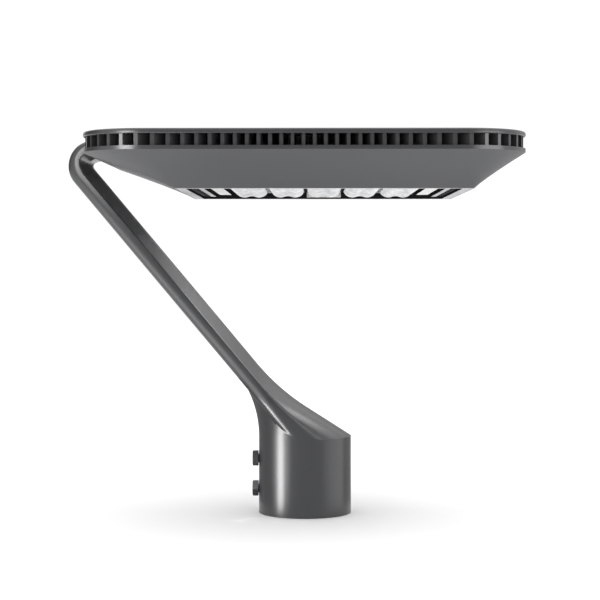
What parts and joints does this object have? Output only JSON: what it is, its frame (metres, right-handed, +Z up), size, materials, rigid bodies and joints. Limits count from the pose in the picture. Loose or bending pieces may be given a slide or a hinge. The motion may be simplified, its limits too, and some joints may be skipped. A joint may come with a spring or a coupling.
{
  "type": "post_top_area_light",
  "caption": "Post top area light: a flat square LED head with a finned edge on a cast arm that rises from a slip-over pole collar",
  "frame": {"origin": "centre of the collar's lower face, on the pole's axis", "axes": "X runs from the arm towards the far edge of the head, Y away from the front, Z up the pole"},
  "size_m": [0.4734, 0.441, 0.4034],
  "materials": {
    "charcoal_coat": "satin graphite powder coat",
    "black_steel": "black oxide",
    "black_rubber": "moulded silicone",
    "zinc_steel": "zinc plated",
    "grey_coat": "satin light grey",
    "white_plastic": "moulded, matte",
    "clear_lens": "clear moulded acrylic",
    "board_white": "white solder mask",
    "led_yellow": "phosphor, unlit",
    "driver_case": "matt anodised",
    "black_plastic": "moulded, matte"
  },
  "bodies": {
    "light": {"arm_casting": "charcoal_coat", "arm_gasket": "black_rubber", "arm_bolts": "black_steel", "wire_grommet": "black_rubber", "heat_sink": "charcoal_coat", "top_cover": "charcoal_coat", "cover_gasket": "black_rubber", "cover_screws": "black_steel", "lower_housing": "charcoal_coat", "housing_gasket": "black_rubber", "housing_screws": "zinc_steel", "window_bezel": "grey_coat", "bezel_screws": "zinc_steel", "window_gasket": "black_rubber", "lens_frame": "grey_coat", "side_reflectors": "white_plastic", "connector_cover": "white_plastic", "front_lenses": "clear_lens", "rear_lenses": "clear_lens", "lens_screws": "zinc_steel", "front_led_board": "board_white", "rear_led_board": "board_white", "front_leds": "led_yellow", "rear_leds": "led_yellow", "driver": "driver_case", "driver_brackets": "zinc_steel", "driver_screws": "black_steel", "surge_protector": "black_plastic", "terminal_block": "white_plastic"},
    "upper_bolt": {"upper_clamp_bolt": "black_steel"},
    "lower_bolt": {"lower_clamp_bolt": "black_steel"}
  },
  "joints": [
    {"name": "upper_bolt_out", "type": "slide", "parent": "light", "child": "upper_bolt", "axis": [-1, 0, 0], "range_m": [0, 0.009]},
    {"name": "lower_bolt_out", "type": "slide", "parent": "light", "child": "lower_bolt", "axis": [-1, 0, 0], "range_m": [0, 0.009]}
  ]
}
